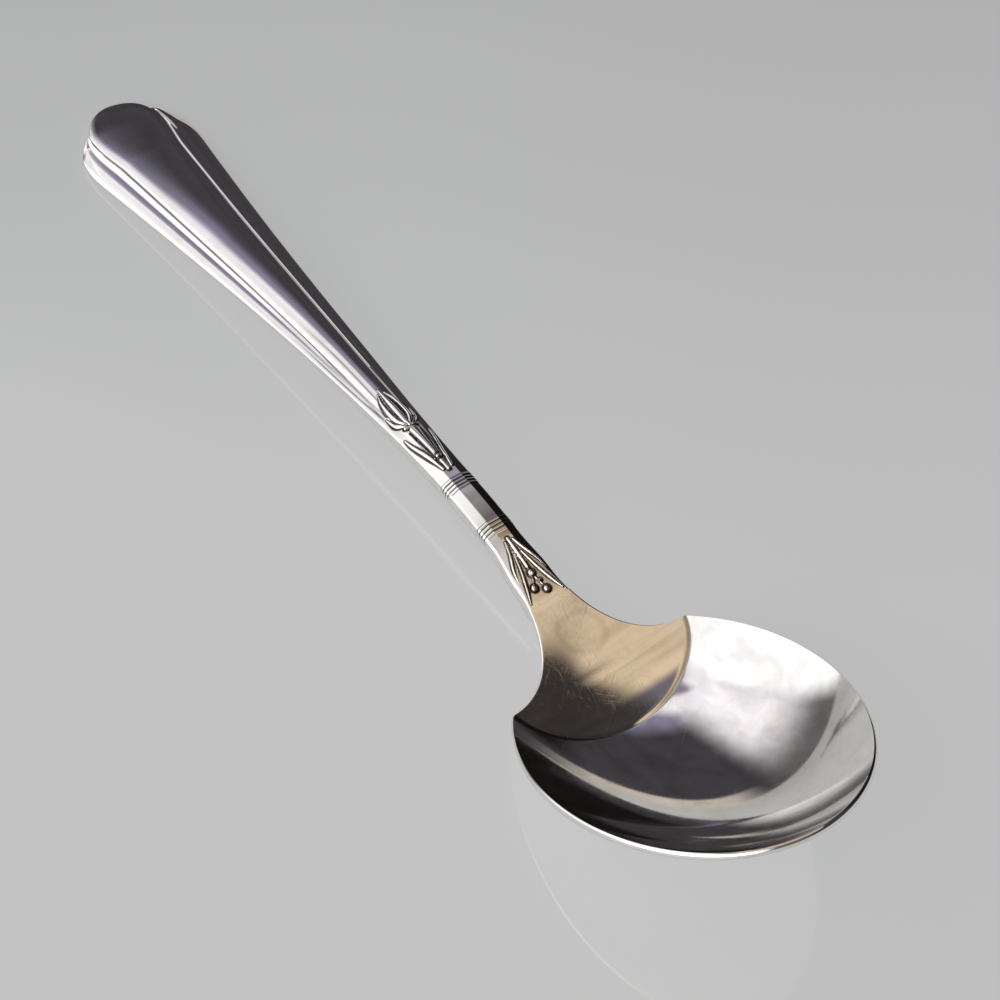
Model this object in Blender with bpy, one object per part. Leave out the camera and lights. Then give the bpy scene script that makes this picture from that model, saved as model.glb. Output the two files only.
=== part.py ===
"""Sugar spoon: an oval bowl with squared shoulders, lapped onto a struck handle with a lobed end.

Metres, +Z up. The spoon lies on z = 0 on the flats under its bowl and under its handle's end.
Along the spoon, x is measured from the handle's end towards the tip of the bowl, and an empty
carries both pieces so that the middle of the spoon comes to the origin.
"""
import math

import bmesh
import bpy
import numpy as np

MM = 0.001

# Handle, seen from above
HANDLE_LENGTH = 117.0 * MM
BLADE_WIDTH = 19.4 * MM
STEM_WIDTH = 4.4 * MM
NECK_WIDTH = 5.4 * MM
LOBE_WIDTH = 10.4 * MM
LOBE_REACH = 4.0 * MM
END_ROUND = 9.0 * MM
BARREL_LENGTH = 5.7 * MM
BAND_LENGTH = 3.0 * MM
SPRAY_LENGTH = 9.0 * MM
PLATE_LENGTH = 10.5 * MM
FLARE_LENGTH = 13.8 * MM
STEM_BLEND = 25.0 * MM
TAPER_POWER = 1.5

# Handle, seen from the side
BLADE_EDGE = 1.5 * MM
BLADE_CROWN = 0.75 * MM
STEM_EDGE = 2.1 * MM
STEM_CROWN = 1.0 * MM
NECK_THICKNESS = 2.5 * MM
CREST_HEIGHT = 7.4 * MM
END_ANGLE = math.radians(4.2)
REED_HEIGHT = 0.22 * MM
REEDS_PER_BAND = 3

# Tongue of the handle, lapped under the bowl's plate
TONGUE_LENGTH = 8.2 * MM
TONGUE_WIDTH = 4.2 * MM
TONGUE_TIP = 0.6 * MM
TONGUE_NOSE_SHARE = 0.25

# Bowl, measured along and square to its rim
BOWL_LENGTH = 44.0 * MM
BOWL_WIDTH = 36.8 * MM
SHOULDER_WIDTH = 25.9 * MM
BOWL_DEPTH = 7.5 * MM
BOWL_TILT = math.radians(24.0)
BOWL_POWER = 2.2
HEEL_ANGLE = math.radians(7.0)
HEEL_RADIUS = 13.0 * MM
HEEL_BLEND = 1.4 * MM
PLATE_DISH = 0.5 * MM
SHEET = 1.1 * MM
RIM_EDGE = 0.8 * MM
EDGE_BEVEL = 0.3 * MM

# Seats
CLEARANCE = 0.3 * MM
REST_CUT = 0.3 * MM

# Stations along the handle, from its end
SHOULDER_X = HANDLE_LENGTH
SEAM_X = SHOULDER_X - PLATE_LENGTH
FLARE_X = SHOULDER_X - FLARE_LENGTH
LOWER_BAND_X = SEAM_X - SPRAY_LENGTH - BAND_LENGTH
BARREL_X = LOWER_BAND_X - BARREL_LENGTH
UPPER_BAND_X = BARREL_X - BAND_LENGTH
BLADE_LENGTH = UPPER_BAND_X - LOBE_REACH - END_ROUND
LOBE_RADIUS = LOBE_WIDTH / 2
STEP = 0.05 * MM

# The bowl's rim is an oval whose heel is cut off at the line of the shoulders
HEEL_SHARE = math.sqrt(1 - (SHOULDER_WIDTH / BOWL_WIDTH) ** 2)
OVAL_HALF_LENGTH = BOWL_LENGTH / (1 + HEEL_SHARE)
OVAL_HALF_WIDTH = BOWL_WIDTH / 2
OVAL_CENTRE = OVAL_HALF_LENGTH * HEEL_SHARE
SPOON_LENGTH = HANDLE_LENGTH + BOWL_LENGTH * math.cos(BOWL_TILT) + RIM_EDGE * math.sin(BOWL_TILT)

# Relief across half of the handle: share of the half width, share of the crown's height
BLADE_RELIEF = (
    (0.00, 1.00),
    (0.30, 0.95),
    (0.50, 0.76),
    (0.55, 0.30),
    (0.63, 0.50),
    (0.71, 0.08),
    (0.82, 0.32),
    (0.93, 0.15),
    (1.00, -0.25),
)
STEM_RELIEF = ((0.00, 1.00), (0.40, 1.00), (0.50, 0.88), (1.00, 0.00))
BLADE_FOOT_SHARE = 0.94
STEM_FOOT_SHARE = 0.78
UPRIGHT_SHARE = 0.55
CREASE_ANGLE = math.radians(35)

# Metal of the two pieces
HANDLE_COLOUR = (0.80, 0.79, 0.80, 1.0)
HANDLE_ROUGHNESS = 0.14
BOWL_COLOUR = (0.82, 0.80, 0.78, 1.0)
BOWL_ROUGHNESS = 0.10

# Sections used for each stretch of the skins
ACROSS_COUNT = 21
BOWL_COUNT = 24
PLATE_COUNT = 10
ROUND_COUNT = 6
BLADE_COUNT = 19
REED_COUNT = 4
NECK_COUNT = 6
TONGUE_COUNT = 7


def ease(share):
    """Smooth step from 0 to 1."""
    share = np.clip(share, 0.0, 1.0)
    return share * share * (3 - 2 * share)


def quarter(share):
    """Height of a quarter circle, from 0 at its foot to 1 at its top."""
    share = np.clip(share, 0.0, 1.0)
    return np.sqrt(1 - (1 - share) ** 2)


def between(x, start, end):
    """Cubic through two points, each given as place, height and slope."""
    x0, z0, slope0 = start
    x1, z1, slope1 = end
    span = x1 - x0
    t = np.clip((x - x0) / span, 0.0, 1.0)
    rise = t * t * (3 - 2 * t)
    lead = t * (1 - t) ** 2
    tail = t * t * (t - 1)
    return z0 + (z1 - z0) * rise + span * (slope0 * lead + slope1 * tail)


def soft_min(first, second, blend):
    """The lesser of two depths, rounded over where they meet."""
    blend = np.maximum(blend, 1e-9)
    overlap = np.maximum(blend - np.abs(first - second), 0) / blend
    return np.minimum(first, second) - overlap ** 2 * blend / 4


def heel_depth(u, v):
    """Depth of the dished plate below the rim as it falls into the bowl."""
    dish = PLATE_DISH * (1 - (2 * v / SHOULDER_WIDTH) ** 2)
    return dish + u * math.tan(BOWL_TILT + HEEL_ANGLE) + u ** 2 / (2 * HEEL_RADIUS)


def oval_fall(u, v, inset):
    """1 at the middle of the bowl, 0 on its rim."""
    along = (u - OVAL_CENTRE) / (OVAL_HALF_LENGTH - inset)
    across = v / (OVAL_HALF_WIDTH - inset)
    return 1 - np.hypot(along, across) ** BOWL_POWER


def inside_depth(u, v):
    """Depth of the hollow below the rim."""
    heel = heel_depth(u, v)
    oval = BOWL_DEPTH * np.maximum(oval_fall(u, v, EDGE_BEVEL), 0)
    return soft_min(oval, heel, np.minimum(HEEL_BLEND, heel / 2))


def outside_depth(u, v):
    """Depth of the underside below the rim."""
    heel = heel_depth(u, v) + SHEET / math.cos(BOWL_TILT + HEEL_ANGLE)
    oval = RIM_EDGE + (BOWL_DEPTH + SHEET - RIM_EDGE) * np.maximum(oval_fall(u, v, 0), 0)
    return soft_min(oval, heel, np.minimum(HEEL_BLEND, heel / 2))


def across_shares():
    """Places across a section, from -1 to 1, closer together near the edges."""
    even = np.linspace(-1, 1, ACROSS_COUNT)
    return (even + np.sin(even * math.pi / 2)) / 2


def bowl_section(angle, inset, depth):
    """Places along and across the rim and depths for one section of the bowl."""
    u = OVAL_CENTRE - (OVAL_HALF_LENGTH - inset) * math.cos(angle)
    v = (OVAL_HALF_WIDTH - inset) * math.sin(angle) * across_shares()
    return np.full_like(v, u), v, depth(u, v)


def bowl_angles():
    """Angles round the oval from the shoulders to just short of the tip."""
    first = math.acos(HEEL_SHARE)
    return np.linspace(first, math.pi, BOWL_COUNT, endpoint=False)


def lowest_fall():
    """How far the underside falls below the shoulders where the spoon touches the table."""
    lowest = 0.0
    for angle in bowl_angles():
        u, _, depth = bowl_section(angle, 0, outside_depth)
        lowest = min(lowest, np.min(u * math.sin(BOWL_TILT) - depth * math.cos(BOWL_TILT)))
    return lowest


SHOULDER_HEIGHT = -lowest_fall() - REST_CUT


def rim_to_spoon(u, v, depth):
    """Points of the spoon from places along, across and below the rim."""
    x = SHOULDER_X + u * math.cos(BOWL_TILT) + depth * math.sin(BOWL_TILT)
    z = SHOULDER_HEIGHT + u * math.sin(BOWL_TILT) - depth * math.cos(BOWL_TILT)
    return np.stack([x, v, np.maximum(z, 0)], axis=-1)


def top_line(x):
    """Height of the handle's top edges, and of the plate after the seam."""
    crest = (BARREL_X, CREST_HEIGHT, 0.0)
    if x < BARREL_X:
        return between(x, (0.0, BLADE_EDGE - REST_CUT, math.tan(END_ANGLE)), crest)
    return between(x, crest, (SHOULDER_X, SHOULDER_HEIGHT, -math.tan(HEEL_ANGLE)))


def blade_half_width(x):
    """Half width of the blade, its taper carried on to the handle's very end."""
    taper = (1 - np.clip(x / UPPER_BAND_X, 0, 1)) ** TAPER_POWER
    return STEM_WIDTH / 2 + (BLADE_WIDTH - STEM_WIDTH) / 2 * taper


def neck_half_width(x):
    """Half width from the stem, through the neck, out to the shoulders."""
    neck_start = LOWER_BAND_X + BAND_LENGTH
    neck = STEM_WIDTH / 2 + (NECK_WIDTH - STEM_WIDTH) / 2 * ease((x - neck_start) / (FLARE_X - neck_start))
    flare = 1 - math.sqrt(1 - np.clip((x - FLARE_X) / FLARE_LENGTH, 0, 1) ** 2)
    return neck + (SHOULDER_WIDTH - NECK_WIDTH) / 2 * flare


def plate_height(x, y):
    """Height of the plate: level across at the seam, dished between the shoulders."""
    dish = PLATE_DISH * ease((x - SEAM_X) / PLATE_LENGTH)
    return top_line(x) - dish * (1 - (y / neck_half_width(x)) ** 2)


def handle_half_width(x):
    """Half width of the handle: the panel's lobe, the rounded ends of the threads, blade and neck."""
    if x >= UPPER_BAND_X:
        return neck_half_width(x)
    lobe = LOBE_RADIUS * quarter((min(x, LOBE_REACH) + STEP) / LOBE_RADIUS)
    return lobe + (blade_half_width(x) - lobe) * quarter((x - LOBE_REACH) / END_ROUND)


def reed_swell(x):
    """Height of the reeds round the two ends of the barrel."""
    for start in (UPPER_BAND_X, LOWER_BAND_X):
        share = (x - start) / BAND_LENGTH
        if 0 < share < 1:
            return REED_HEIGHT * abs(math.sin(share * REEDS_PER_BAND * math.pi))
    return 0.0


TOP_SHARES = np.array([0.20, 0.40, 0.50, 0.55, 0.63, 0.71, 0.82, 0.93, 1.00])
TOP_SHARES = np.concatenate([-TOP_SHARES[::-1], [0.0], TOP_SHARES])


def handle_relief(shares, stem_share):
    """Relief of the handle's top, between the blade's threads and the stem's facets."""
    blade = np.interp(shares, *zip(*BLADE_RELIEF))
    stem = np.interp(shares, *zip(*STEM_RELIEF))
    return blade + (stem - blade) * stem_share


def closed_ring(x, y, z, foot, bottom):
    """One section: its top from left to right, then its sides and bottom from right to left."""
    half = y[-1]
    side = z[-1] + (bottom - z[-1]) * UPRIGHT_SHARE
    low_y = [half, foot * half, 0.0, -foot * half, -half]
    low_z = [side, bottom, bottom, bottom, side]
    ring = np.empty((len(y) + len(low_y), 3))
    ring[:, 0] = x
    ring[:, 1] = np.concatenate([y, low_y])
    ring[:, 2] = np.concatenate([z, low_z])
    return ring


def handle_ring(x):
    """Section of the handle from its end to the seam."""
    stem_share = ease((x - UPPER_BAND_X + STEM_BLEND) / STEM_BLEND)
    flat_share = ease((x - LOWER_BAND_X - BAND_LENGTH) / SPRAY_LENGTH)
    crown = BLADE_CROWN + (STEM_CROWN - BLADE_CROWN) * stem_share
    crown = crown * (1 - flat_share) * quarter((x + STEP) / LOBE_RADIUS)
    half = handle_half_width(x)
    swell = reed_swell(x)
    y = TOP_SHARES * half
    relief = handle_relief(np.abs(y) / max(half, blade_half_width(x)), stem_share)
    z = top_line(x) + crown * relief + swell
    edge = BLADE_EDGE + (STEM_EDGE - BLADE_EDGE) * stem_share + (NECK_THICKNESS - STEM_EDGE) * flat_share
    foot = BLADE_FOOT_SHARE + (STEM_FOOT_SHARE - BLADE_FOOT_SHARE) * stem_share
    return closed_ring(x, y * (1 + swell / half), z, foot, max(top_line(x) - edge, 0.0))


def tongue_ring(share):
    """Section of the tongue that lies under the bowl's plate."""
    x = SEAM_X + STEP + TONGUE_LENGTH * share
    half = TONGUE_WIDTH / 2 * math.sqrt(1 - (1 - TONGUE_NOSE_SHARE ** 2) * share ** 3)
    y = TOP_SHARES * half
    top = plate_height(x, y) - SHEET - CLEARANCE
    root = NECK_THICKNESS - SHEET - CLEARANCE
    bottom = np.min(top) - root - (TONGUE_TIP - root) * share
    return closed_ring(x, y, top, STEM_FOOT_SHARE, bottom)


def handle_stations():
    """Stations from the handle's end to the seam, close together where the outline turns."""
    first_turn = math.acos(1 - STEP / LOBE_RADIUS)
    last_turn = math.acos(1 - (LOBE_REACH + STEP) / LOBE_RADIUS)
    lobe = LOBE_RADIUS * (1 - np.cos(np.linspace(first_turn, last_turn, ROUND_COUNT + 1))) - STEP
    turns = np.linspace(0, math.pi / 2, ROUND_COUNT + 1)[1:]
    threads = LOBE_REACH + END_ROUND * (1 - np.cos(turns))
    blade = LOBE_REACH + END_ROUND + BLADE_LENGTH * np.arange(1, BLADE_COUNT + 1) / BLADE_COUNT
    reeds = np.arange(REED_COUNT * REEDS_PER_BAND + 1) / (REED_COUNT * REEDS_PER_BAND)
    upper = UPPER_BAND_X + BAND_LENGTH * reeds[1:]
    lower = LOWER_BAND_X + BAND_LENGTH * reeds
    neck = SEAM_X - SPRAY_LENGTH * (1 - np.arange(1, NECK_COUNT + 1) / NECK_COUNT)
    return np.concatenate([lobe, threads, blade, upper, lower, neck])


def add_row(bm, points):
    """Vertices along one row of points."""
    return [bm.verts.new(point) for point in points]


def join_rows(bm, first, second):
    """Faces between two rows with as many vertices."""
    for a, b, c, d in zip(first, first[1:], second[1:], second):
        bm.faces.new((a, b, c, d))


def finish_object(name, bm, colour, roughness, carrier):
    """A named object with its own metal, from a closed mesh."""
    bmesh.ops.recalc_face_normals(bm, faces=bm.faces)
    mesh = bpy.data.meshes.new(name)
    bm.to_mesh(mesh)
    bm.free()
    mesh.shade_smooth()
    mesh.set_sharp_from_angle(angle=CREASE_ANGLE)
    metal = bpy.data.materials.new(name + "_silver")
    metal.use_nodes = True
    surface = metal.node_tree.nodes["Principled BSDF"]
    surface.inputs["Base Color"].default_value = colour
    surface.inputs["Metallic"].default_value = 1.0
    surface.inputs["Roughness"].default_value = roughness
    mesh.materials.append(metal)
    piece = bpy.data.objects.new(name, mesh)
    piece.parent = carrier
    bpy.context.collection.objects.link(piece)
    return piece


def make_handle(carrier):
    """The struck handle: lobed blade, reeded barrel, neck and tongue, as one skin over its sections."""
    rings = [handle_ring(x) for x in handle_stations()]
    rings += [tongue_ring(share) for share in np.linspace(0, 1, TONGUE_COUNT)]
    bm = bmesh.new()
    rows = [add_row(bm, ring) for ring in rings]
    for first, second in zip(rows, rows[1:]):
        join_rows(bm, first + first[:1], second + second[:1])
    bm.faces.new(rows[0])
    bm.faces.new(rows[-1])
    return finish_object("handle", bm, HANDLE_COLOUR, HANDLE_ROUGHNESS, carrier)


def plate_rows():
    """Top and bottom rows of the plate, from the seam out to the shoulders."""
    start = math.asin(np.clip((SEAM_X + CLEARANCE - FLARE_X) / FLARE_LENGTH, 0, 1))
    across = across_shares()
    tops = []
    bottoms = []
    for turn in np.linspace(start, math.pi / 2, PLATE_COUNT, endpoint=False):
        x = FLARE_X + FLARE_LENGTH * math.sin(turn)
        half = neck_half_width(x)
        for rows, y, drop in ((tops, (half - EDGE_BEVEL) * across, 0), (bottoms, half * across, SHEET)):
            rows.append(np.stack([np.full_like(y, x), y, plate_height(x, y) - drop], axis=-1))
    return tops, bottoms


def make_bowl(carrier):
    """The bowl with its plate: an inner and an outer skin, joined round the edge."""
    tops, bottoms = plate_rows()
    for angle in bowl_angles():
        tops.append(rim_to_spoon(*bowl_section(angle, EDGE_BEVEL, inside_depth)))
        bottoms.append(rim_to_spoon(*bowl_section(angle, 0, outside_depth)))
    bm = bmesh.new()
    skins = [[add_row(bm, row) for row in rows] for rows in (tops, bottoms)]
    tips = [
        bm.verts.new(rim_to_spoon(np.float64(BOWL_LENGTH - EDGE_BEVEL), 0.0, 0.0)),
        bm.verts.new(rim_to_spoon(np.float64(BOWL_LENGTH), 0.0, RIM_EDGE)),
    ]
    for rows, tip in zip(skins, tips):
        for first, second in zip(rows, rows[1:]):
            join_rows(bm, first, second)
        for a, b in zip(rows[-1], rows[-1][1:]):
            bm.faces.new((a, b, tip))
    top_rows, bottom_rows = skins
    join_rows(bm, top_rows[0], bottom_rows[0])
    for side in (0, -1):
        top_edge = [row[side] for row in top_rows] + tips[:1]
        bottom_edge = [row[side] for row in bottom_rows] + tips[1:]
        join_rows(bm, top_edge, bottom_edge)
    return finish_object("bowl", bm, BOWL_COLOUR, BOWL_ROUGHNESS, carrier)


def main():
    """Clear the scene and build the spoon."""
    for old in list(bpy.data.objects):
        bpy.data.objects.remove(old, do_unlink=True)
    middle = bpy.data.objects.new("spoon_middle", None)
    middle.location.x = -SPOON_LENGTH / 2
    bpy.context.collection.objects.link(middle)
    make_handle(middle)
    make_bowl(middle)
    bpy.context.view_layer.update()
    print(f"spoon {SPOON_LENGTH / MM:.1f} mm long, shoulders {SHOULDER_HEIGHT / MM:.2f} mm high")


main()
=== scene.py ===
# %% [markdown]
# # A silver sugar spoon
# The spoon is two pieces of metal: a bowl beaten from sheet, with a flat plate behind it, and a
# handle struck between dies, soldered together at the neck. The frame holds the plain solids of
# both. This lesson skins them again with the fine relief that dies leave, and dresses them in
# worn silver plate.

# %% Load the frame
import math

import bmesh
import bpy
import numpy as np
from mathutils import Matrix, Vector


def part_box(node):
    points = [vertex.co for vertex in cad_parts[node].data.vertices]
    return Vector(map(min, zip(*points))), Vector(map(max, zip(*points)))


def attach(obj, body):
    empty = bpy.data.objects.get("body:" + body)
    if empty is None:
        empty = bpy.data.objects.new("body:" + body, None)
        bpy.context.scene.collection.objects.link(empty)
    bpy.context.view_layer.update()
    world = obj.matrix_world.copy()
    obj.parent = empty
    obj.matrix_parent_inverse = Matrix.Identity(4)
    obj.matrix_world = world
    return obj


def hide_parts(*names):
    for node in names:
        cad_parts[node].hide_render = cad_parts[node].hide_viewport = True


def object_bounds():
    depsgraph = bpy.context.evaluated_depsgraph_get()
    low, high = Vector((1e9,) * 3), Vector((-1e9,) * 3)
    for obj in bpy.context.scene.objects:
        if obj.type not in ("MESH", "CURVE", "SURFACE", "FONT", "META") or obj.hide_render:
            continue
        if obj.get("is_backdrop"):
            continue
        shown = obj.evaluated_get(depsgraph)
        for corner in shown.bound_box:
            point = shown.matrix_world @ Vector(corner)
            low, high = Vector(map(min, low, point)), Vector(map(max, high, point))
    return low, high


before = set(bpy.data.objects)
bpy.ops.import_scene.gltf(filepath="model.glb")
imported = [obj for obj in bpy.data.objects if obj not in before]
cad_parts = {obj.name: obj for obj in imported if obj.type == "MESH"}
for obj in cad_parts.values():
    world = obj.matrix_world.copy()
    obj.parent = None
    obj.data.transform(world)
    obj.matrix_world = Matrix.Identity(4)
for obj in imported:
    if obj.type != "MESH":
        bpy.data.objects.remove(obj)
cad_low, cad_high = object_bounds()
bowl_low, bowl_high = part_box("bowl")
handle_low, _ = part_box("handle")
print("solids", sorted(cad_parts), "box", [round(v * 1000, 1) for v in cad_high - cad_low], "mm")

# %% [markdown]
# The camera stands over the tip of the bowl, to one side and high up, with a long lens. A long lens
# keeps the far end of the handle from shrinking.

# %% Camera
MM = 0.001
VIEW_AZIMUTH = math.radians(55.0)
VIEW_ELEVATION = math.radians(52.21)
VIEW_DISTANCE = 346.87 * MM
VIEW_AIM = Vector((12.02, 3.85, 4.80)) * MM

camera_data = bpy.data.cameras.new("view")
camera_data.sensor_fit = "HORIZONTAL"
camera_data.sensor_width = 36.0
camera_data.lens = 100.8
camera_data.clip_start = 0.01
camera = bpy.data.objects.new("view", camera_data)
towards_camera = Vector((
    math.sin(VIEW_AZIMUTH) * math.cos(VIEW_ELEVATION),
    -math.cos(VIEW_AZIMUTH) * math.cos(VIEW_ELEVATION),
    math.sin(VIEW_ELEVATION),
))
camera.location = VIEW_AIM + towards_camera * VIEW_DISTANCE
camera.rotation_euler = (-towards_camera).to_track_quat("-Z", "Y").to_euler()
bpy.context.collection.objects.link(camera)
bpy.context.scene.camera = camera
bpy.context.scene.view_settings.view_transform = "Standard"
print("camera at", [round(v / MM) for v in camera.location], "mm")

# %% [markdown]
# A spoon is drawn from a few lines: the outline from above, the line of its top edges from the side,
# and the rim of the bowl. Each line is a short formula, so the fine skins below can ask for as many
# points as they need. Along the spoon, x runs from the end of the handle.

# %% Lengths along the handle
END_X = handle_low.x
JOINT_X = bowl_low.x - END_X
SHOULDER_X = 117.0 * MM
SEAM_X = 106.5 * MM
FLARE_X = 103.2 * MM
NECK_X = 97.5 * MM
LOWER_BAND_X = 94.5 * MM
BARREL_X = 88.8 * MM
UPPER_BAND_X = 85.8 * MM
LOBE_REACH = 4.0 * MM
LOBE_RADIUS = 5.2 * MM
END_ROUND = 9.0 * MM
STEM_BLEND = 25.0 * MM
print(f"handle shows for {JOINT_X / MM:.1f} mm, then the plate begins")

# %% Rules for curves
def ease(share):
    """Smooth step from 0 to 1."""
    share = np.clip(share, 0.0, 1.0)
    return share * share * (3 - 2 * share)


def quarter(share):
    """Height of a quarter circle, from 0 at its foot to 1 at its top."""
    return np.sqrt(1 - (1 - np.clip(share, 0.0, 1.0)) ** 2)


def half_round(share):
    """Height of a half circle over shares from -1 to 1, and 0 outside them."""
    return np.sqrt(np.clip(1 - share ** 2, 0.0, 1.0))


def between(x, start, end):
    """Cubic through two points, each given as place, height and slope."""
    x0, z0, slope0 = start
    x1, z1, slope1 = end
    span = x1 - x0
    t = np.clip((x - x0) / span, 0.0, 1.0)
    curve = z0 + (z1 - z0) * t * t * (3 - 2 * t)
    return curve + span * (slope0 * t * (1 - t) ** 2 + slope1 * t * t * (t - 1))


def soft_min(first, second, blend):
    """The lesser of two depths, rounded over where they meet."""
    overlap = np.maximum(blend - np.abs(first - second), 0) / blend
    return np.minimum(first, second) - overlap ** 2 * blend / 4


print("quarter circle, half way:", round(float(quarter(0.5)), 3))

# %% Line of the top edges, and the outline
BOWL_TILT = math.radians(24.0)
BOWL_LENGTH = 44.0 * MM
RIM_BEVEL = 0.3 * MM
HEEL_ANGLE = math.radians(7.0)
SHOULDER_HEIGHT = bowl_high.z - (BOWL_LENGTH - RIM_BEVEL) * math.sin(BOWL_TILT)
SHOULDER_WIDTH = 25.9 * MM
STEM_WIDTH = 4.4 * MM
NECK_WIDTH = 5.4 * MM
BLADE_WIDTH = 19.4 * MM
CREST_HEIGHT = 7.4 * MM
END_HEIGHT = 1.2 * MM
END_SLOPE = math.tan(math.radians(4.2))
BLUNT = 0.05 * MM
TAPER = 1.5


def top_line(x):
    """Height of the handle's top edges, and of the plate after the joint."""
    crest = (BARREL_X, CREST_HEIGHT, 0.0)
    rising = between(x, (0.0, END_HEIGHT, END_SLOPE), crest)
    falling = between(x, crest, (SHOULDER_X, SHOULDER_HEIGHT, -math.tan(HEEL_ANGLE)))
    return np.where(x < BARREL_X, rising, falling)


def blade_half_width(x):
    """Half width of the blade, its taper carried on to the very end."""
    narrowing = (1 - np.clip(x / UPPER_BAND_X, 0, 1)) ** TAPER
    return STEM_WIDTH / 2 + (BLADE_WIDTH - STEM_WIDTH) / 2 * narrowing


def neck_half_width(x):
    """Half width from the stem, through the neck, out to the shoulders."""
    neck = (NECK_WIDTH - STEM_WIDTH) / 2 * ease((x - NECK_X) / (FLARE_X - NECK_X))
    flare = 1 - np.sqrt(1 - np.clip((x - FLARE_X) / (SHOULDER_X - FLARE_X), 0, 1) ** 2)
    return STEM_WIDTH / 2 + neck + (SHOULDER_WIDTH - NECK_WIDTH) / 2 * flare


def handle_half_width(x):
    """Half width of the handle: the lobe, the rounded shoulders of the edges, blade and neck."""
    lobe = LOBE_RADIUS * quarter((np.minimum(x, LOBE_REACH) + BLUNT) / LOBE_RADIUS)
    blade = lobe + (blade_half_width(x) - lobe) * quarter((x - LOBE_REACH) / END_ROUND)
    return np.where(x < UPPER_BAND_X, blade, neck_half_width(x))


widest = 2 * handle_half_width(LOBE_REACH + END_ROUND)
print(f"blade {widest / MM:.1f} mm wide, shoulders {SHOULDER_HEIGHT / MM:.2f} mm high")

# %% [markdown]
# The blade of the handle has a raised panel that ends in a lobe. Beside the panel a thread stands up
# steeply and falls away outwards, then comes a hollow, then a broad rolled edge that does the same.
# Towards the neck all of this melts into a stem with three flat facets. A bevelled block could not do
# this, so the top is a grid: rows of stations along the handle, each with points at fixed shares of
# the panel and of the band beside it. Lines of the grid then run along the relief, and its edges stay
# crisp.

# %% Relief across the handle
PANEL_WALL = 0.30 * MM
PANEL_EDGE = 0.20 * MM
PANEL_SHARE = 0.535
THREAD_FOOT, THREAD_TOP, THREAD_END = 0.05, 0.13, 0.33
ROLL_FOOT, ROLL_TOP = 0.24, 0.60
HOLLOW = -0.04 * MM
THREAD_RISE = 0.23 * MM
ROLL_RISE = 0.07 * MM
BAND_FALL = 0.68 * MM
EDGE_FALL = 0.36 * MM
EDGE_ROLL = 0.35 * MM
END_LIFT = 0.30 * MM
STEM_CROWN = 0.85 * MM
FACET_SLOPE = math.tan(math.radians(27))
FLAT_MIDDLE, FLAT_GAIN = 0.38, 0.5
PANEL_EASE = 8.0 * MM
PANEL_ROLL = 8
CROWN_AT_LOBE, CROWN_GAIN = 0.15 * MM, 0.30 * MM
CROWN_START, CROWN_LENGTH = 6 * MM, 26 * MM


def panel_half_width(x):
    """Half width of the raised panel, which is the whole width at the lobe."""
    lobe = LOBE_RADIUS * quarter((x + BLUNT) / LOBE_RADIUS)
    along = lobe + (PANEL_SHARE * blade_half_width(x) - lobe) * ease((x - LOBE_RADIUS) / PANEL_EASE)
    along = np.where(x < UPPER_BAND_X, along, PANEL_SHARE * neck_half_width(x))
    return np.minimum(along, handle_half_width(x) - EDGE_ROLL)


def panel_relief(x, y, scale):
    """Height of the panel: nearly flat by the lobe, rounder along the blade, rolled at its edge."""
    in_lobe = np.hypot(y, LOBE_RADIUS - x) / LOBE_RADIUS
    reach = np.clip(np.where(x < LOBE_RADIUS, in_lobe, np.abs(y) / panel_half_width(x)), 0, 1)
    crown = CROWN_AT_LOBE + CROWN_GAIN * ease((x - CROWN_START) / CROWN_LENGTH)
    return crown * (1 - reach ** 2) + scale * (PANEL_WALL + PANEL_EDGE * (1 - reach ** PANEL_ROLL))


def band_relief(share):
    """Height of the band beside the panel: the thread, the hollow and the rolled edge, all falling outwards."""
    fall = np.clip((share - THREAD_TOP) / (THREAD_END - THREAD_TOP), 0, 1)
    climb = np.clip((share - THREAD_FOOT) / (THREAD_TOP - THREAD_FOOT), 0, 1)
    thread = THREAD_RISE * climb * (1 - 0.8 * fall - 0.2 * fall ** 2)
    over = np.clip((share - ROLL_TOP) / (1 - ROLL_TOP), 0, 1)
    roll = ROLL_RISE * ease((share - ROLL_FOOT) / (ROLL_TOP - ROLL_FOOT))
    edge = (ROLL_RISE + EDGE_FALL) * (0.5 * over + 0.5 * (1 - half_round(over)))
    return HOLLOW + thread + roll - edge - BAND_FALL * share


def stem_relief(y, half, flat_share):
    """Height of the stem: a flat middle facet, wider over the neck, between two sloping ones."""
    middle = (FLAT_MIDDLE + FLAT_GAIN * flat_share) * half
    return STEM_CROWN * (1 - flat_share) - FACET_SLOPE * np.maximum(y - middle, 0)


def stem_share(x):
    """0 on the blade, 1 on the stem."""
    return ease((x - UPPER_BAND_X + STEM_BLEND) / STEM_BLEND)


def neck_share(x):
    """0 on the stem, 1 where the neck meets the plate."""
    return ease((x - NECK_X) / (SEAM_X - NECK_X))


print("panel edge stands", round(PANEL_WALL / MM, 2), "mm over the top edges")

# %% Grid over the handle's top
FULL_HALF_WIDTH = 8.2 * MM
LIFT_START, LIFT_LENGTH = 5 * MM, 30 * MM
THREAD_ROOM = 2.0 * MM
PANEL_SHARES = np.sin(np.linspace(0, math.pi / 2, 29))
BAND_SHARES = np.concatenate([
    [THREAD_FOOT],
    np.linspace(THREAD_TOP, THREAD_END, 11),
    np.linspace(THREAD_END, ROLL_TOP, 12)[1:-1],
    ROLL_TOP + (1 - ROLL_TOP) * np.sin(np.linspace(0, math.pi / 2, 20)),
])


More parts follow.
